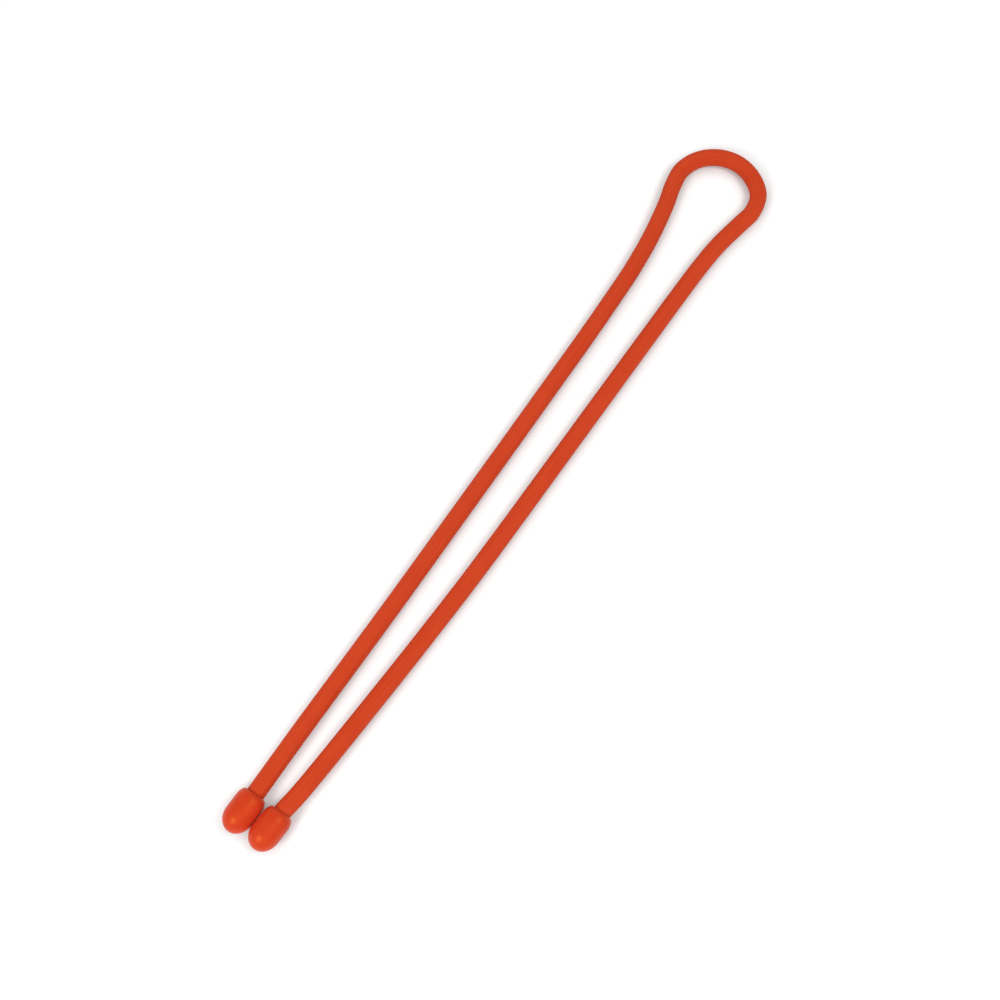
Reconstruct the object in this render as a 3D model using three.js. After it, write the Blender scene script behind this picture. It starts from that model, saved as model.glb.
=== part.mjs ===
// A bendable tie: a soft steel wire inside a ribbed rubber sleeve, with a moulded rubber cap on each
// end. It is folded in half and lies on a table, so its middle makes a loop.
//
// Millimetres, +Z up. The tie lies along Y with both caps towards -Y and the loop towards +Y. The
// origin is on the table, under the middle of the tie's outline. A station is a distance along the
// centreline from the tip of the left cap.

import * as THREE from 'three';

// Sleeve and wire
const SLEEVE_DIAMETER = 8; // across the flats of its section
const WIRE_DIAMETER = 2.4;
const SLEEVE_SIDES = 12; // one corner for each of the sleeve's lengthwise ribs
const WIRE_SIDES = 8;

// End caps
const CAP_DIAMETER = 13.4;
const CAP_LENGTH = 18.8;
const CAP_NOSE = 7.7; // length of the rounded nose
const CAP_SHOULDER = 5.2; // length of the rounded shoulder at the sleeve
const CAP_LIP = 0.3; // wall at the mouth, round the sleeve
const CAP_SOCKET = 7; // how deep the sleeve goes in
const CAP_NOSE_WALL = 4; // solid rubber in front of the wire's eye
const CAP_SPACING = 0.35; // between the two caps, halfway along them
const CAP_LEAN = 0.47; // how far aside the right cap's tip and mouth stand, to the left and right
const CAP_SEGMENTS = 32;
const NOSE_STEPS = 7;
const SHOULDER_STEPS = 5;

// The eye that the wire's end is turned back into, inside the cap
const EYE_RADIUS = 1.8; // of the wire's centreline
const EYE_TAIL = 1; // straight end after the turn
const EYE_JOGGLE = 3.6; // run in which the wire leaves the sleeve's axis
const EYE_STEPS = 8;

// Places along the centreline where the tie bends
const LEG_BEND = 205; // from the tip of each cap
const LOOP_BEND_SPACING = 38; // between the two bends of the loop, either side of the middle

// From the caps, which are thicker, the sleeve comes down to the table in this run
const DESCENT = 100;

// Between pieces that touch or are moulded on to each other
const CLEARANCE = 0.3;

// Rings of the tubes: a new one where the centreline has turned this far or run this long
const RING_TURN = THREE.MathUtils.degToRad(7.5);
const RING_RUN = 20;
const SURVEY_STEP = 1;

const SLEEVE_RADIUS = SLEEVE_DIAMETER / 2;
const SLEEVE_CORNER = SLEEVE_RADIUS / Math.cos(Math.PI / SLEEVE_SIDES);
const WIRE_RADIUS = WIRE_DIAMETER / 2;
const CAP_RADIUS = CAP_DIAMETER / 2;
const CAP_PITCH = CAP_DIAMETER + CAP_SPACING;
const SOCKET_RADIUS = SLEEVE_CORNER + CLEARANCE;

// The centreline seen from above, from tip to tip. Both caps stand either side of CAPS_MIDDLE, the
// right one turned a little outwards.
const CAPS_MIDDLE = 1.1;
const LEFT_CAP = CAPS_MIDDLE - CAP_PITCH / 2;
const RIGHT_CAP = CAPS_MIDDLE + CAP_PITCH / 2;
const ROUTE = [
  [LEFT_CAP, -198.7],
  [LEFT_CAP, -179.9],
  [-6.0, -162.9],
  [-6.3, -143],
  [-6.6, -108.3],
  [-6.9, -70.6],
  [-7.4, -31],
  [-7.9, 8.7],
  [-8.5, 48.4],
  [-9.0, 78.2],
  [-9.6, 98],
  [-10.5, 117.8],
  [-12.7, 137.7],
  [-16.3, 156.5],
  [-19.0, 166.5],
  [-20.1, 176.4],
  [-16.2, 186.1],
  [-8.8, 192.4],
  [0.5, 194.8],
  [10.1, 192.4],
  [17.7, 186.1],
  [20.2, 176.8],
  [18.7, 167],
  [16.3, 152.6],
  [15.3, 137.7],
  [15, 119.8],
  [14.9, 98],
  [14.8, 58.3],
  [14.7, 18.6],
  [14.6, -21],
  [14.3, -50.8],
  [13.4, -80.6],
  [12.3, -110.3],
  [10.8, -146],
  [9.9, -163],
  [9.3, -170.9],
  [RIGHT_CAP + CAP_LEAN, -179.4],
  [RIGHT_CAP - CAP_LEAN, -198.2],
];

const rubber = new THREE.MeshStandardMaterial({ color: 0xd34a28, roughness: 0.75, metalness: 0 });
const capRubber = new THREE.MeshStandardMaterial({ color: 0xe24a26, roughness: 0.5, metalness: 0 });
const steel = new THREE.MeshStandardMaterial({ color: 0x9a9c9e, roughness: 0.4, metalness: 1 });

const plan = new THREE.CatmullRomCurve3(ROUTE.map(([x, y]) => new THREE.Vector3(x, y, 0)));
plan.arcLengthDivisions = 4000;
const LENGTH = plan.getLength();

// Height of the centreline: that of a cap lying on the table near the tips, then down to the
// sleeve's own.
function heightAt(station) {
  const fromCap = Math.min(station, LENGTH - station) - CAP_LENGTH;
  const down = THREE.MathUtils.smoothstep(fromCap, 0, DESCENT);
  return THREE.MathUtils.lerp(CAP_RADIUS, SLEEVE_RADIUS, down);
}

function centreAt(station) {
  const point = plan.getPointAt(station / LENGTH);
  point.z = heightAt(station);
  return point;
}

function headingAt(station) {
  return plan.getTangentAt(station / LENGTH);
}

// The rings of a stretch, closer together where it bends. Each has its centre and its heading.
function ringsAlong(from, to) {
  const stations = [from];
  for (let station = from + SURVEY_STEP; station < to - SURVEY_STEP; station += SURVEY_STEP) {
    const last = stations.at(-1);
    const turned = headingAt(station).angleTo(headingAt(last));
    if (turned > RING_TURN || station - last > RING_RUN) stations.push(station);
  }
  stations.push(to);
  return stations.map((station) => ({ centre: centreAt(station), heading: headingAt(station) }));
}

// A path that gives an extrusion exactly these rings, each square to its heading.
class RingPath extends THREE.Curve {
  constructor(rings) {
    super();
    this.rings = rings;
  }

  getUtoTmapping(u) {
    return u;
  }

  getPoint(t, target = new THREE.Vector3()) {
    const place = t * (this.rings.length - 1);
    const before = Math.min(Math.floor(place), this.rings.length - 2);
    const [from, to] = this.rings.slice(before, before + 2);
    return target.lerpVectors(from.centre, to.centre, place - before);
  }

  getTangent(t, target = new THREE.Vector3()) {
    return target.copy(this.rings[Math.round(t * (this.rings.length - 1))].heading);
  }
}

// Corners of a regular polygon whose flats stand square to its own axes.
function polygon(sides, apothem) {
  const corner = apothem / Math.cos(Math.PI / sides);
  return Array.from({ length: sides }, (_, k) => {
    const angle = ((2 * k + 1) * Math.PI) / sides;
    return new THREE.Vector2(corner * Math.cos(angle), corner * Math.sin(angle));
  });
}

function tube(rings, section) {
  return new THREE.ExtrudeGeometry(section, {
    steps: rings.length - 1,
    extrudePath: new RingPath(rings),
    bevelEnabled: false,
  });
}

const wireSection = new THREE.Shape(polygon(WIRE_SIDES, WIRE_RADIUS));
const sleeveSection = new THREE.Shape(polygon(SLEEVE_SIDES, SLEEVE_RADIUS));
sleeveSection.holes.push(new THREE.Path(polygon(WIRE_SIDES, WIRE_RADIUS + CLEARANCE)));

// Outline of a cap from its tip, up its side, round its shoulder and over the mouth, then down the
// socket and the pocket for the wire's eye. X is the distance from its axis and Y from its tip.
function capOutline() {
  const outline = [];
  for (let step = 0; step <= NOSE_STEPS; step += 1) {
    const angle = (step / NOSE_STEPS) * (Math.PI / 2);
    const along = CAP_NOSE * (1 - Math.cos(angle));
    outline.push(new THREE.Vector2(CAP_RADIUS * Math.sin(angle), along));
  }
  outline[0].x = 0;
  const lip = SOCKET_RADIUS + CAP_LIP;
  for (let step = 0; step <= SHOULDER_STEPS; step += 1) {
    const angle = (step / SHOULDER_STEPS) * (Math.PI / 2);
    const across = lip + (CAP_RADIUS - lip) * Math.cos(angle);
    const along = CAP_LENGTH - CAP_SHOULDER * (1 - Math.sin(angle));
    outline.push(new THREE.Vector2(across, along));
  }
  const socketFloor = CAP_LENGTH - CAP_SOCKET;
  const pocket = EYE_RADIUS + WIRE_RADIUS + CLEARANCE;
  outline.push(
    new THREE.Vector2(SOCKET_RADIUS, CAP_LENGTH),
    new THREE.Vector2(SOCKET_RADIUS, socketFloor),
    new THREE.Vector2(pocket, socketFloor),
    new THREE.Vector2(pocket, CAP_NOSE_WALL),
    new THREE.Vector2(0, CAP_NOSE_WALL),
  );
  return outline;
}

// The rings of the wire inside a cap, from the end of its turned-back tail, round the eye and back
// to the cap's axis. Across is the distance aside of that axis and along is the distance from the
// tip.
function eyeRings(tip, inward, aside) {
  const turn = CAP_NOSE_WALL + CLEARANCE + WIRE_RADIUS + EYE_RADIUS;
  const onPlan = (vector, across, along) =>
    vector.addScaledVector(aside, across).addScaledVector(inward, along);
  const ring = (across, along, acrossHeading, alongHeading) => ({
    centre: onPlan(tip.clone(), across, along),
    heading: onPlan(new THREE.Vector3(), acrossHeading, alongHeading).normalize(),
  });
  const rings = [ring(EYE_RADIUS, turn + EYE_TAIL, 0, -1)];
  for (let step = 0; step <= EYE_STEPS; step += 1) {
    const [sin, cos] = [Math.sin, Math.cos].map((of) => of((step / EYE_STEPS) * Math.PI));
    rings.push(ring(EYE_RADIUS * cos, turn - EYE_RADIUS * sin, -sin, -cos));
  }
  for (let step = 1; step <= EYE_STEPS; step += 1) {
    const share = step / EYE_STEPS;
    const across = EYE_RADIUS * (THREE.MathUtils.smoothstep(share, 0, 1) - 1);
    const drift = (EYE_RADIUS * 6 * share * (1 - share)) / EYE_JOGGLE;
    rings.push(ring(across, turn + EYE_JOGGLE * share, drift, 1));
  }
  return rings;
}

function capMesh(name, station, inward) {
  const cap = new THREE.Mesh(new THREE.LatheGeometry(capOutline(), CAP_SEGMENTS), capRubber);
  cap.name = name;
  cap.position.copy(centreAt(station));
  cap.quaternion.setFromUnitVectors(new THREE.Vector3(0, 1, 0), inward);
  return cap;
}

function stretchMesh(name, rings, section, material) {
  const mesh = new THREE.Mesh(tube(rings, section), material);
  mesh.name = name;
  return mesh;
}

const tie = new THREE.Group();

const middle = LENGTH / 2;
const loopBends = [middle - LOOP_BEND_SPACING / 2, middle + LOOP_BEND_SPACING / 2];
const legBends = [LEG_BEND, LENGTH - LEG_BEND];
const sleeveStart = CAP_LENGTH - CAP_SOCKET + CLEARANCE;
const half = CLEARANCE / 2;

// Sleeve and wire between the bends, where the tie moves as one
const stretches = [
  ['left_leg', legBends[0] + half, loopBends[0] - half],
  ['crown', loopBends[0] + half, loopBends[1] - half],
  ['right_leg', loopBends[1] + half, legBends[1] - half],
];
for (const [name, from, to] of stretches) {
  const rings = ringsAlong(from, to);
  tie.add(stretchMesh(`sleeve_${name}`, rings, sleeveSection, rubber));
  tie.add(stretchMesh(`core_${name}`, rings, wireSection, steel));
}

// The two ends, each with its cap and the eye of the wire
for (const side of ['left', 'right']) {
  const left = side === 'left';
  const tipStation = left ? 0 : LENGTH;
  const inward = headingAt(tipStation).multiplyScalar(left ? 1 : -1);
  const aside = new THREE.Vector3(inward.y, -inward.x, 0);
  const bend = left ? legBends[0] - half : legBends[1] + half;
  const mouth = left ? sleeveStart : LENGTH - sleeveStart;
  const rings = left ? ringsAlong(mouth, bend) : ringsAlong(bend, mouth).reverse();
  if (!left) rings.forEach((ring) => ring.heading.negate());
  const eye = eyeRings(centreAt(tipStation), inward, aside);
  tie.add(capMesh(`end_cap_${side}`, tipStation, inward));
  tie.add(stretchMesh(`sleeve_${side}_end`, rings, sleeveSection, rubber));
  tie.add(stretchMesh(`core_${side}_end`, [...eye, ...rings], wireSection, steel));
}

export default tie;
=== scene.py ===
import math
from bisect import bisect_right

import bpy
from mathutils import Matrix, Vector


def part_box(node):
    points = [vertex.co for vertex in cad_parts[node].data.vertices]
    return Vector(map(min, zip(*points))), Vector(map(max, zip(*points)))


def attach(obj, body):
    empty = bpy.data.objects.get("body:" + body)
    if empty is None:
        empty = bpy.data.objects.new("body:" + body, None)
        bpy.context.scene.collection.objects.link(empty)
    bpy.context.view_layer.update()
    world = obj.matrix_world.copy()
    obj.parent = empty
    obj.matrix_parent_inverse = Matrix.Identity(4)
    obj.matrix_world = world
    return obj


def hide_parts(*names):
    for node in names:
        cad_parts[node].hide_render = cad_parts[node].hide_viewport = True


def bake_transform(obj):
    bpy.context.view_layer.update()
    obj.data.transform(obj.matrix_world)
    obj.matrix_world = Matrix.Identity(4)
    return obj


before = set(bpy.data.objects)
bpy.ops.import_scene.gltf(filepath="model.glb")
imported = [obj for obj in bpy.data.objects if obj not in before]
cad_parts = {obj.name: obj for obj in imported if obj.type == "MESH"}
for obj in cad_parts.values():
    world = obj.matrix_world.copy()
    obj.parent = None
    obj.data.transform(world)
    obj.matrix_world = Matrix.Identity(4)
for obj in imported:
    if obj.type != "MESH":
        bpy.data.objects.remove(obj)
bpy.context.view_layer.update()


# Camera
# The tie was photographed from about 0.6 m above the table, 16.5 degrees off straight down, with
# its caps towards the lower left corner of the picture.
CAMERA_PLACE = (0.10704, -0.15912, 0.6091)
CAMERA_TILT = math.radians(16.5)  # from straight down
CAMERA_TURN = math.radians(35.112)  # about the vertical
CAMERA_LENS = 50  # mm
CAMERA_SENSOR = 36  # mm across

bpy.ops.object.camera_add(location=CAMERA_PLACE, rotation=(CAMERA_TILT, 0, CAMERA_TURN))
camera = bpy.context.object
camera.data.lens = CAMERA_LENS
camera.data.sensor_width = CAMERA_SENSOR
bpy.context.scene.camera = camera


# Rubber sleeve
# One unbroken sleeve of orange-red rubber, moulded on the wire from cap to cap, with twelve low
# ribs along it. It is made here in four stretches, one for each place where the tie bends, which
# meet ring to ring where nothing bends.
UP = Vector((0, 0, 1))
CAPS_MIDDLE = 0.0011  # the line between the two caps, across the tie
CAP_PITCH = 0.01362  # from the middle of one cap to the middle of the other
LEFT_CAP = CAPS_MIDDLE - CAP_PITCH / 2
RIGHT_CAP = CAPS_MIDDLE + CAP_PITCH / 2
CAP_LEAN = 0.00036  # how far aside the right cap's tip and mouth stand, to the left and right
# The route of the tie's centreline seen from above, from the tip of one cap to the other's
ROUTE = [
    (LEFT_CAP, -0.1987),
    (LEFT_CAP, -0.1799),
    (-0.0060, -0.1629),
    (-0.0063, -0.1430),
    (-0.0066, -0.1083),
    (-0.0069, -0.0706),
    (-0.0074, -0.0310),
    (-0.0079, 0.0087),
    (-0.0085, 0.0484),
    (-0.0090, 0.0782),
    (-0.0096, 0.0980),
    (-0.0105, 0.1178),
    (-0.0127, 0.1377),
    (-0.0163, 0.1565),
    (-0.0190, 0.1665),
    (-0.0201, 0.1764),
    (-0.0162, 0.1861),
    (-0.0088, 0.1924),
    (0.0005, 0.1948),
    (0.0101, 0.1924),
    (0.0177, 0.1861),
    (0.0202, 0.1768),
    (0.0187, 0.1670),
    (0.0163, 0.1526),
    (0.0153, 0.1377),
    (0.0150, 0.1198),
    (0.0149, 0.0980),
    (0.0148, 0.0583),
    (0.0147, 0.0186),
    (0.0146, -0.0210),
    (0.0143, -0.0508),
    (0.0134, -0.0806),
    (0.0123, -0.1103),
    (0.0108, -0.1460),
    (0.0099, -0.1630),
    (0.0093, -0.1709),
    (RIGHT_CAP + CAP_LEAN, -0.1794),
    (RIGHT_CAP - CAP_LEAN, -0.1982),
]
SAMPLES = 40  # of the line, between two points of the route
HEADING_RUN = 0.0005  # over which the line's heading is taken

SLEEVE_RADIUS = 0.004
RIBS = 12
RIB_TOP = 0.00409  # the two lowest ribs, to either side of the bottom, lie on the table
GROOVE_DEPTH = 0.00022
RIB_STEPS = 8
SKIN_STEPS = RIBS * RIB_STEPS
BORE_RADIUS = 0.00135
BORE_STEPS = 2 * RIBS
SKIN_PER_BORE = SKIN_STEPS // BORE_STEPS
RING_SPACING = 0.001
SLEEVE_EDGE = math.radians(60)  # a sharper edge than this stays crisp
DESCENT = 0.1  # run in which the sleeve comes down to the table from the thicker caps
SOCKET_DEPTH = 0.007

LEG_BEND = 0.205  # from the tip of each cap
LEG_BEND_REACH = 0.034  # of the soft bend, to either side of its middle
LOOP_BEND_REACH = 0.019  # the loop's two soft bends meet in the middle of the tie

cap_low, cap_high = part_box("end_cap_left")
CAP_RADIUS = (cap_high.z - cap_low.z) / 2
CAP_LENGTH = cap_high.y - cap_low.y


def eased(share):
    """The share, from 0 to 1, with a level start and end."""
    return share * share * (3 - 2 * share)


def smooth_line(points):
    """The centripetal Catmull-Rom line through points, as points close enough to measure along."""
    ends = [points[0] * 2 - points[1], *points, points[-1] * 2 - points[-2]]
    line = []
    for before, start, end, after in zip(ends, ends[1:], ends[2:], ends[3:]):
        at_start = math.sqrt((start - before).length)
        at_end = at_start + math.sqrt((end - start).length)
        at_after = at_end + math.sqrt((after - end).length)
        for sample in range(SAMPLES):
            share = sample / SAMPLES
            at = at_start + (at_end - at_start) * share
            first = before.lerp(start, at / at_start)
            second = start.lerp(end, share)
            third = end.lerp(after, (at - at_end) / (at_after - at_end))
            early = first.lerp(second, at / at_end)
            late = second.lerp(third, (at - at_start) / (at_after - at_start))
            line.append(early.lerp(late, share))
    return [*line, points[-1]]


plan = smooth_line([Vector((x, y, 0)) for x, y in ROUTE])
plan_stations = [0.0]
for here, there in zip(plan, plan[1:]):
    plan_stations.append(plan_stations[-1] + (there - here).length)
TIE_LENGTH = plan_stations[-1]
MIDDLE = TIE_LENGTH / 2


def centre_at(station):
    """The point of the centreline at a distance along it from the left cap's tip."""
    index = min(max(bisect_right(plan_stations, station), 1), len(plan) - 1)
    start, end = plan_stations[index - 1], plan_stations[index]
    centre = plan[index - 1].lerp(plan[index], (station - start) / (end - start))
    from_cap = min(station, TIE_LENGTH - station) - CAP_LENGTH
    share = min(max(from_cap / DESCENT, 0), 1)
    centre.z = CAP_RADIUS + (SLEEVE_RADIUS - CAP_RADIUS) * eased(share)
    return centre


def heading_at(station):
    """The way the centreline runs there, seen from above."""
    run = centre_at(station + HEADING_RUN) - centre_at(station - HEADING_RUN)
    run.z = 0
    return run.normalized()


def rib_radius(angle):
    """The sleeve's radius at an angle round it, with a groove straight below its middle."""
    rise = abs(math.sin(RIBS * (angle + math.pi / 2) / 2))
    return RIB_TOP - GROOVE_DEPTH * (1 - rise)


def sleeve_rings(stations):
    """Points of the sleeve's skin and bore, and where each would be if the tie were straight."""
    angles = [2 * math.pi * step / SKIN_STEPS - math.pi / 2 for step in range(SKIN_STEPS)]
    skin = [(angle, rib_radius(angle)) for angle in angles]
    bore = [(angle, BORE_RADIUS) for angle in angles[::SKIN_PER_BORE]]
    points = []
    straight = []
    for station in stations:
        centre = centre_at(station)
        right = heading_at(station).cross(UP)
        for angle, radius in skin + bore:
            across, up = radius * math.cos(angle), radius * math.sin(angle)
            points.append(centre + right * across + UP * up)
            straight.append((across, up, station))
    return points, straight


def sleeve_faces(rings):
    """The walls of skin and bore between so many rings, and the sleeve's flat end at each side."""
    ring = SKIN_STEPS + BORE_STEPS
    faces = []
    for start in range(0, ring * (rings - 1), ring):
        for step in range(SKIN_STEPS):
            here, there = start + step, start + (step + 1) % SKIN_STEPS
            faces.append((here, here + ring, there + ring, there))
        bore = start + SKIN_STEPS
        for step in range(BORE_STEPS):
            here, there = bore + step, bore + (step + 1) % BORE_STEPS
            faces.append((here, there, there + ring, here + ring))
    for start, turn in ((0, 1), (ring * (rings - 1), -1)):
        bore = start + SKIN_STEPS
        for step in range(BORE_STEPS):
            skin_steps = range(step * SKIN_PER_BORE, (step + 1) * SKIN_PER_BORE + 1)
            rim = [start + skin_step % SKIN_STEPS for skin_step in skin_steps]
            inside = [bore + (step + 1) % BORE_STEPS, bore + step]
            faces.append((rim + inside)[::turn])
    return faces


def sleeve_stretch(name, stations):
    """The ribbed sleeve between its first and last station, open along its bore for the wire."""
    points, straight = sleeve_rings(stations)
    mesh = bpy.data.meshes.new(name)
    mesh.from_pydata(points, [], sleeve_faces(len(stations)))
    place = mesh.attributes.new("straight_place", "FLOAT_VECTOR", "POINT")
    place.data.foreach_set("vector", [number for point in straight for number in point])
    sleeve = bpy.data.objects.new(name, mesh)
    bpy.context.collection.objects.link(sleeve)
    bpy.ops.object.select_all(action="DESELECT")
    sleeve.select_set(True)
    bpy.context.view_layer.objects.active = sleeve
    bpy.ops.object.shade_smooth_by_angle(angle=SLEEVE_EDGE)
    return sleeve


def srgb(red, green, blue):
    """A colour given as 0 to 255, as the linear colour that a shader takes."""
    shares = [value / 255 for value in (red, green, blue)]
    return (
        *[s / 12.92 if s < 0.04045 else ((s + 0.055) / 1.055) ** 2.4 for s in shares],
        1,
    )


def add_node(owner, kind, inputs=None, **settings):
    """Adds a shader node. An input is a value, or another node's output to link."""
    node = owner.node_tree.nodes.new(kind)
    for setting, value in settings.items():
        setattr(node, setting, value)
    for socket, value in (inputs or {}).items():
        if isinstance(value, bpy.types.NodeSocket):
            owner.node_tree.links.new(value, node.inputs[socket])
        else:
            node.inputs[socket].default_value = value
    return node


def empty_material(name):
    """A new material with no nodes in it yet."""
    material = bpy.data.materials.new(name)
    material.use_nodes = True
    material.node_tree.nodes.clear()
    return material


def sleeve_rubber():
    """Matte rubber with faint streaks along the ribs, soft patches and a fine grain."""
    material = empty_material("sleeve_rubber")
    place = add_node(material, "ShaderNodeAttribute", attribute_name="straight_place")
    vector = place.outputs["Vector"]

    # Streaks and patches of slightly lighter and darker rubber
    along = add_node(material, "ShaderNodeMapping", {"Vector": vector, "Scale": (900, 900, 22)})
    streaks = add_node(
        material,
        "ShaderNodeTexNoise",
        {"Vector": along.outputs["Vector"], "Scale": 1, "Detail": 3, "Roughness": 0.6},
    )
    patches = add_node(
        material,
        "ShaderNodeTexNoise",
        {"Vector": vector, "Scale": 90, "Detail": 2, "Roughness": 0.5},
    )
    tones = add_node(
        material,
        "ShaderNodeMix",
        {"Factor": 0.35, "A": streaks.outputs["Fac"], "B": patches.outputs["Fac"]},
    )
    colour = add_node(material, "ShaderNodeValToRGB", {"Fac": tones.outputs["Result"]})
    colour.color_ramp.elements[0].position = 0.3
    colour.color_ramp.elements[0].color = srgb(209, 68, 35)
    colour.color_ramp.elements[1].position = 0.7
    colour.color_ramp.elements[1].color = srgb(219, 78, 42)

    # Fine grain, as a moulded rubber skin has
    grain = add_node(
        material,
        "ShaderNodeTexNoise",
        {"Vector": vector, "Scale": 3200, "Detail": 3, "Roughness": 0.55},
    )
    relief = add_node(
        material,
        "ShaderNodeBump",
        {"Strength": 0.35, "Distance": 0.00006, "Height": grain.outputs["Fac"]},
    )
    gloss = add_node(
        material,
        "ShaderNodeMapRange",
        {"Value": tones.outputs["Result"], "To Min": 0.66, "To Max": 0.54},
    )
    shader = add_node(
        material,
        "ShaderNodeBsdfPrincipled",
        {
            "Base Color": colour.outputs["Color"],
            "Roughness": gloss.outputs["Result"],
            "Normal": relief.outputs["Normal"],
            "Diffuse Roughness": 0.5,
            "Specular IOR Level": 0.1,
            "Specular Tint": (1, 0.6, 0.25, 1),
        },
    )
    add_node(material, "ShaderNodeOutputMaterial", {"Surface": shader.outputs["BSDF"]})
    return material


sleeve_mouth = CAP_LENGTH - SOCKET_DEPTH
loop_bend = MIDDLE - LOOP_BEND_REACH
seam = (LEG_BEND + loop_bend) / 2
stretches = [
    {
        "name": "left_end",
        "run": (sleeve_mouth, seam),
        "bodies": ("left_end", "left_leg"),
        "bend": (LEG_BEND - LEG_BEND_REACH, LEG_BEND + LEG_BEND_REACH),
        "exit": CAP_LENGTH,
    },
    {
        "name": "left_loop",
        "run": (seam, MIDDLE),
        "bodies": ("left_leg", "crown"),
        "bend": (MIDDLE - 2 * LOOP_BEND_REACH, MIDDLE),
        "exit": seam,
    },
    {
        "name": "right_loop",
        "run": (MIDDLE, TIE_LENGTH - seam),
        "bodies": ("crown", "right_leg"),
        "bend": (MIDDLE, MIDDLE + 2 * LOOP_BEND_REACH),
        "exit": MIDDLE,
    },
    {
        "name": "right_end",
        "run": (TIE_LENGTH - seam, TIE_LENGTH - sleeve_mouth),
        "bodies": ("right_leg", "right_end"),
        "bend": (TIE_LENGTH - LEG_BEND - LEG_BEND_REACH, TIE_LENGTH - LEG_BEND + LEG_BEND_REACH),
        "exit": TIE_LENGTH - seam,
    },
]


def stations_between(start, end, spacing):
    """Stations about so far apart, the two ends among them."""
    count = round((end - start) / spacing)
    return [start + (end - start) * step / count for step in range(count + 1)]


def stand_for(piece, stretch, kind, material):
    """The piece stands for the solids of both its bodies, which are hidden."""
    piece.data.materials.append(material)
    start, end = [centre_at(station) for station in stretch["bend"]]
    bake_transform(piece)
    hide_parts(*[f"{kind}_{body}" for body in stretch["bodies"]])


sleeve_material = sleeve_rubber()
for stretch in stretches:
    stations = stations_between(*stretch["run"], RING_SPACING)
    sleeve = sleeve_stretch(f"ribbed_sleeve_{stretch['name']}", stations)
    stand_for(sleeve, stretch, "sleeve", sleeve_material)
    centre_at(stretch["exit"])
    [centre_at(station) for station in stations]


# Wire
# One soft steel wire from cap to cap, which keeps whatever bend the tie is given. Its ends are
# turned back into small eyes inside the caps, so that they can't push through the noses.
WIRE_RADIUS = 0.0012
WIRE_ROUNDNESS = 3  # the higher, the more sides the wire has
WIRE_SPACING = 0.002
WIRE_EDGE = math.radians(50)  # a sharper edge than this stays crisp
SAME_PLACE = 0.00001  # points closer together than this are one
EYE_RADIUS = 0.0018
EYE_TAIL = 0.001
EYE_JOGGLE = 0.0036  # run in which the wire leaves its eye for the sleeve's middle
EYE_STEPS = 16
NOSE_WALL = 0.004
EYE_CLEARANCE = 0.0003


def eye_points(tip, inward):
    """The wire's line inside a cap, from its turned-back tail to the sleeve's middle."""
    turn = NOSE_WALL + EYE_CLEARANCE + WIRE_RADIUS + EYE_RADIUS
    points = [(EYE_RADIUS, turn + EYE_TAIL)]
    for step in range(EYE_STEPS + 1):
        angle = math.pi * step / EYE_STEPS
        points.append((EYE_RADIUS * math.cos(angle), turn - EYE_RADIUS * math.sin(angle)))
    for step in range(1, EYE_STEPS + 1):
        share = step / EYE_STEPS
        points.append((EYE_RADIUS * (eased(share) - 1), turn + EYE_JOGGLE * share))
    aside = inward.cross(UP)
    return [tip + aside * across + inward * along for across, along in points]


def drawn_wire(name, points):
    """A round wire along points."""
    bpy.ops.curve.primitive_nurbs_path_add()
    wire = bpy.context.object
    wire.name = name
    wire.data.splines.clear()
    line = wire.data.splines.new("POLY")
    line.points.add(len(points) - 1)
    for spot, point in zip(line.points, points):
        spot.co = (*point, 1)
    wire.data.bevel_depth = WIRE_RADIUS
    wire.data.bevel_resolution = WIRE_ROUNDNESS
    wire.data.use_fill_caps = True
    bpy.ops.object.convert(target="MESH")
    bpy.ops.object.mode_set(mode="EDIT")
    bpy.ops.mesh.select_all(action="SELECT")
    bpy.ops.mesh.remove_doubles(threshold=SAME_PLACE)
    bpy.ops.mesh.normals_make_consistent(inside=False)
    bpy.ops.object.mode_set(mode="OBJECT")
    bpy.ops.object.shade_smooth_by_angle(angle=WIRE_EDGE)
    return wire


def drawn_steel():
    """Soft drawn steel, dull grey with fine die lines, some brighter and some duller."""
    material = empty_material("wire_steel")
    place = add_node(material, "ShaderNodeTexCoord")
    lines = add_node(
        material,
        "ShaderNodeMapping",
        {"Vector": place.outputs["Object"], "Scale": (9000, 60, 9000)},
    )
    scratches = add_node(
        material,
        "ShaderNodeTexNoise",
        {"Vector": lines.outputs["Vector"], "Scale": 1, "Detail": 2},
    )
    colour = add_node(material, "ShaderNodeValToRGB", {"Fac": scratches.outputs["Fac"]})
    colour.color_ramp.elements[0].color = srgb(140, 141, 143)
    colour.color_ramp.elements[1].color = srgb(176, 177, 179)
    gloss = add_node(
        material,
        "ShaderNodeMapRange",
        {"Value": scratches.outputs["Fac"], "To Min": 0.32, "To Max": 0.46},
    )
    shader = add_node(
        material,
        "ShaderNodeBsdfPrincipled",
        {
            "Base Color": colour.outputs["Color"],
            "Roughness": gloss.outputs["Result"],
            "Metallic": 1.0,
        },
    )
    add_node(material, "ShaderNodeOutputMaterial", {"Surface": shader.outputs["BSDF"]})
    return material


bpy.ops.object.select_all(action="DESELECT")
steel = drawn_steel()
left_eye = eye_points(centre_at(0), heading_at(0))
right_eye = eye_points(centre_at(TIE_LENGTH), -heading_at(TIE_LENGTH))
for stretch in stretches:
    stations = stations_between(*stretch["run"], WIRE_SPACING)
    points = [centre_at(station) for station in stations]
    if stretch["name"] == "left_end":
        points = left_eye + points
    if stretch["name"] == "right_end":
        points = points + right_eye[::-1]
    wire = drawn_wire(f"wire_{stretch['name']}", points)
    stand_for(wire, stretch, "core", steel)


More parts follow.
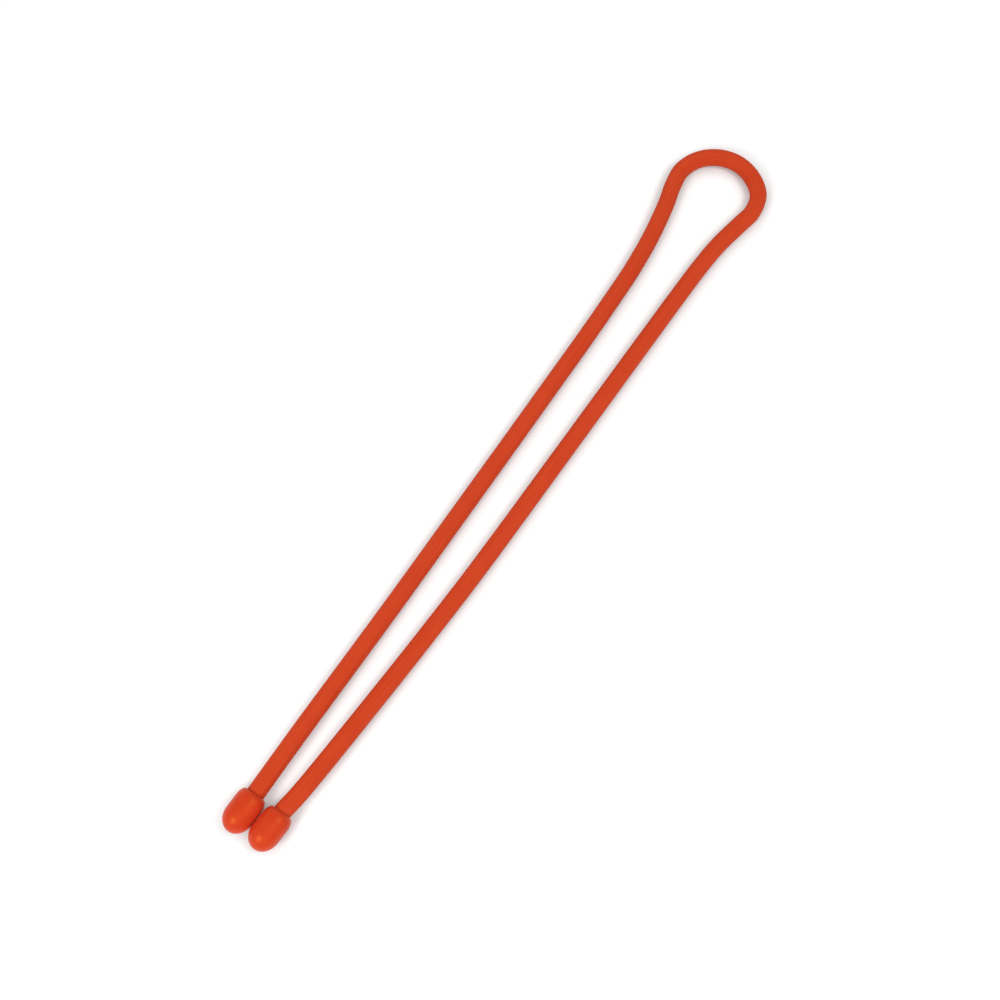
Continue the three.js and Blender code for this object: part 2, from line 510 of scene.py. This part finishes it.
# End caps
# A bulb of smooth rubber moulded over each end of the sleeve, with a rounded nose, a straight
# side and a round shoulder down to the sleeve. The two caps are alike and lie side by side.
CAP_NOSE = 0.0077
CAP_SHOULDER = 0.0052
SHOULDER_STEPS = 10
LIP_RADIUS = 0.0046
GRIP_RADIUS = 0.0037  # of the socket, so that the cap's rubber fills the sleeve's grooves
EYE_POCKET_RADIUS = 0.0033
CAP_SEGMENTS = 96
NOSE_RINGS = 48  # of the whole ball that the nose is cut from
CUT_REACH = 0.000001  # within which a ring already lies on the cut
CAP_EDGE = math.radians(35)  # a sharper edge than this stays crisp


def cap_rubber():
    """Smooth satin rubber, a little brighter than the sleeve, faintly clouded."""
    material = empty_material("cap_rubber")
    place = add_node(material, "ShaderNodeTexCoord")
    clouds = add_node(
        material,
        "ShaderNodeTexNoise",
        {"Vector": place.outputs["Object"], "Scale": 160, "Detail": 3, "Roughness": 0.55},
    )
    colour = add_node(material, "ShaderNodeValToRGB", {"Fac": clouds.outputs["Fac"]})
    colour.color_ramp.elements[0].position = 0.3
    colour.color_ramp.elements[0].color = srgb(210, 56, 29)
    colour.color_ramp.elements[1].position = 0.7
    colour.color_ramp.elements[1].color = srgb(220, 66, 34)
    grain = add_node(
        material,
        "ShaderNodeTexNoise",
        {"Vector": place.outputs["Object"], "Scale": 2600, "Detail": 2},
    )
    relief = add_node(
        material,
        "ShaderNodeBump",
        {"Strength": 0.2, "Distance": 0.00003, "Height": grain.outputs["Fac"]},
    )
    gloss = add_node(
        material,
        "ShaderNodeMapRange",
        {"Value": clouds.outputs["Fac"], "To Min": 0.46, "To Max": 0.38},
    )
    shader = add_node(
        material,
        "ShaderNodeBsdfPrincipled",
        {
            "Base Color": colour.outputs["Color"],
            "Roughness": gloss.outputs["Result"],
            "Normal": relief.outputs["Normal"],
            "Diffuse Roughness": 0.5,
            "Specular IOR Level": 0.5,
            "Specular Tint": (1, 0.5, 0.1, 1),
        },
    )
    add_node(material, "ShaderNodeOutputMaterial", {"Surface": shader.outputs["BSDF"]})
    return material


def select_rim(cap):
    """Selects the open rim at the back of a cap's nose."""
    for edge in cap.data.edges:
        ends = [cap.data.vertices[v].co for v in edge.vertices]
        edge.select = all(
            abs(end.y - CAP_NOSE) < SAME_PLACE
            and abs(math.hypot(end.x, end.z) - CAP_RADIUS) < SAME_PLACE
            for end in ends
        )


def cap_outline():
    """Distances from the tip and radii, from the nose over the mouth and down into the socket."""
    outline = [(CAP_LENGTH - CAP_SHOULDER, CAP_RADIUS)]
    for step in range(1, SHOULDER_STEPS + 1):
        angle = math.pi / 2 * step / SHOULDER_STEPS
        along = CAP_LENGTH - CAP_SHOULDER * (1 - math.sin(angle))
        outline.append((along, LIP_RADIUS + (CAP_RADIUS - LIP_RADIUS) * math.cos(angle)))
    return outline + [
        (CAP_LENGTH, GRIP_RADIUS),
        (CAP_LENGTH - SOCKET_DEPTH, GRIP_RADIUS),
        (CAP_LENGTH - SOCKET_DEPTH, EYE_POCKET_RADIUS),
        (NOSE_WALL, EYE_POCKET_RADIUS),
    ]


def moulded_cap():
    """A cap with its tip at the origin, its nose towards -Y and its mouth towards +Y."""
    bpy.ops.object.select_all(action="DESELECT")
    bpy.ops.mesh.primitive_uv_sphere_add(
        segments=CAP_SEGMENTS,
        ring_count=NOSE_RINGS,
        radius=CAP_RADIUS,
        location=(0, CAP_NOSE, 0),
        rotation=(math.pi / 2, 0, 0),
        scale=(1, 1, CAP_NOSE / CAP_RADIUS),
    )
    cap = bpy.context.object
    bpy.ops.object.transform_apply()

    # The ball's front half is the nose, and the rest of the cap is drawn out of its open rim
    bpy.ops.object.mode_set(mode="EDIT")
    bpy.ops.mesh.select_all(action="SELECT")
    bpy.ops.mesh.bisect(
        plane_co=(0, CAP_NOSE, 0), plane_no=(0, 1, 0), clear_outer=True, threshold=CUT_REACH
    )
    bpy.ops.mesh.select_all(action="DESELECT")
    bpy.ops.object.mode_set(mode="OBJECT")
    select_rim(cap)
    bpy.ops.object.mode_set(mode="EDIT")
    distance, radius = CAP_NOSE, CAP_RADIUS
    for next_distance, next_radius in cap_outline():
        bpy.ops.mesh.extrude_region_move(
            TRANSFORM_OT_translate={"value": (0, next_distance - distance, 0)}
        )
        bpy.ops.transform.resize(
            value=(next_radius / radius, 1, next_radius / radius),
            center_override=(0, next_distance, 0),
        )
        distance, radius = next_distance, next_radius
    bpy.ops.mesh.edge_face_add()
    bpy.ops.mesh.select_all(action="SELECT")
    bpy.ops.mesh.normals_make_consistent(inside=False)
    bpy.ops.object.mode_set(mode="OBJECT")
    bpy.ops.object.shade_smooth_by_angle(angle=CAP_EDGE)
    return cap


left_cap = moulded_cap()
left_cap.name = "moulded_cap_left"
left_cap.data.materials.append(cap_rubber())
bpy.ops.object.duplicate()
right_cap = bpy.context.object
right_cap.name = "moulded_cap_right"
for side, cap, tip, inward in (
    ("left", left_cap, centre_at(0), heading_at(0)),
    ("right", right_cap, centre_at(TIE_LENGTH), -heading_at(TIE_LENGTH)),
):
    bpy.ops.object.select_all(action="DESELECT")
    cap.select_set(True)
    bpy.context.view_layer.objects.active = cap
    cap.location = tip
    cap.rotation_euler.z = math.atan2(-inward.x, inward.y)
    bpy.ops.object.transform_apply()
    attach(cap, f"{side}_end")
    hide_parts(f"end_cap_{side}")


# Table, light and background
# A plain white table under two soft lamps, one from beyond the caps and one from the far right,
# with even light from all round. The table and the background both show as plain white, but for
# painted shade where the table shows through the slot between the caps.
LAMP_DISTANCE = 1.2  # from the left cap
LAMPS = [
    {"way": Vector((-0.1, -0.62, 0.78)), "size": 0.45, "power": 7.4},
    {"way": Vector((0.46, 0.34, 0.82)), "size": 0.4, "power": 4},
]
WORLD_LIGHT = 0.44  # of the background as it lights the tie
TABLE_SIZE = 6
TABLE_GAP = 0.0001  # between the table and the tie on it
TABLE_PAINT = 0.7  # as it lights the tie
TABLE_WHITE = 1.1  # as it shows, its paint and its glow together
TABLE_GLOW = 0.5  # that only shows, and lights nothing
SLOT_SHADE_DEPTH = 0.006  # the table's glow is taken away where it shows through a slot between two caps, as painted shade
SLOT_SHADE_SKY = (0.15, 0.5)  # share of open sky, from where the glow is all taken away as painted shade to where it is full
FAR_TABLE = (0.45, 0.8)  # from its middle, the run in which it turns plain white


def shows_itself(owner):
    """1 for the rays that show the table or the background, and 0 for those that light the tie."""
    ray = add_node(owner, "ShaderNodeLightPath")
    seen = ray.outputs["Is Camera Ray"]
    for kind in ("Is Glossy Ray", "Is Transmission Ray"):
        either = add_node(
            owner, "ShaderNodeMath", {0: seen, 1: ray.outputs[kind]}, operation="MAXIMUM"
        )
        seen = either.outputs["Value"]
    return seen


def table_white():
    """Matte white that takes the tie's shadow, with a glow of its own to show as plain white,
    taken away in narrow slots as painted shade.
    """
    material = empty_material("table_white")
    seen = shows_itself(material)
    paint = add_node(
        material,
        "ShaderNodeMapRange",
        {"Value": seen, "To Min": TABLE_PAINT, "To Max": TABLE_WHITE - TABLE_GLOW},
    )
    diffuse = add_node(material, "ShaderNodeBsdfDiffuse", {"Color": paint.outputs["Result"]})
    # Painted shade: where little open sky is near, as in the slot between the caps, the glow is
    # taken away and the table shows dark there
    slot_shade_sky = add_node(material, "ShaderNodeAmbientOcclusion", {"Distance": SLOT_SHADE_DEPTH}, samples=1)
    glow_but_slot_shade = add_node(
        material,
        "ShaderNodeMapRange",
        {
            "Value": slot_shade_sky.outputs["AO"],
            "From Min": SLOT_SHADE_SKY[0],
            "From Max": SLOT_SHADE_SKY[1],
            "To Max": TABLE_GLOW,
        },
    )
    strength = add_node(
        material,
        "ShaderNodeMath",
        {0: seen, 1: glow_but_slot_shade.outputs["Result"]},
        operation="MULTIPLY",
    )
    glow = add_node(
        material,
        "ShaderNodeEmission",
        {"Color": (1, 1, 1, 1), "Strength": strength.outputs["Value"]},
    )
    near = add_node(
        material,
        "ShaderNodeAddShader",
        {0: diffuse.outputs["BSDF"], 1: glow.outputs["Emission"]},
    )

    # Far from the tie, where the lamps' light falls off, the table shows as plain white
    place = add_node(material, "ShaderNodeTexCoord")
    away = add_node(
        material, "ShaderNodeVectorMath", {0: place.outputs["Object"]}, operation="LENGTH"
    )
    far_share = add_node(
        material,
        "ShaderNodeMapRange",
        {"Value": away.outputs["Value"], "From Min": FAR_TABLE[0], "From Max": FAR_TABLE[1]},
    )
    far_seen = add_node(
        material,
        "ShaderNodeMath",
        {0: seen, 1: far_share.outputs["Result"]},
        operation="MULTIPLY",
    )
    far = add_node(material, "ShaderNodeEmission", {"Color": (1, 1, 1, 1), "Strength": 1})
    surface = add_node(
        material,
        "ShaderNodeMixShader",
        {0: far_seen.outputs["Value"], 1: near.outputs["Shader"], 2: far.outputs["Emission"]},
    )
    add_node(material, "ShaderNodeOutputMaterial", {"Surface": surface.outputs["Shader"]})
    return material


bpy.ops.object.select_all(action="DESELECT")
bpy.ops.mesh.primitive_plane_add(size=TABLE_SIZE, location=(0, 0, -TABLE_GAP))
table = bpy.context.object
table.name = "table"
table.data.materials.append(table_white())

for lamp in LAMPS:
    bpy.ops.object.light_add(type="AREA", location=cap_low + lamp["way"] * LAMP_DISTANCE)
    light = bpy.context.object
    light.rotation_euler = lamp["way"].to_track_quat("Z", "Y").to_euler()
    light.data.shape = "DISK"
    light.data.size = lamp["size"]
    light.data.energy = lamp["power"]

world = bpy.data.worlds.new("even_light")
bpy.context.scene.world = world
world.use_nodes = True
background = world.node_tree.nodes["Background"]
background.inputs["Color"].default_value = (1, 1, 1, 1)
strength = add_node(
    world, "ShaderNodeMath", {0: shows_itself(world), 1: WORLD_LIGHT}, operation="MAXIMUM"
)
world.node_tree.links.new(strength.outputs["Value"], background.inputs["Strength"])

bpy.context.scene.view_settings.view_transform = "Standard"
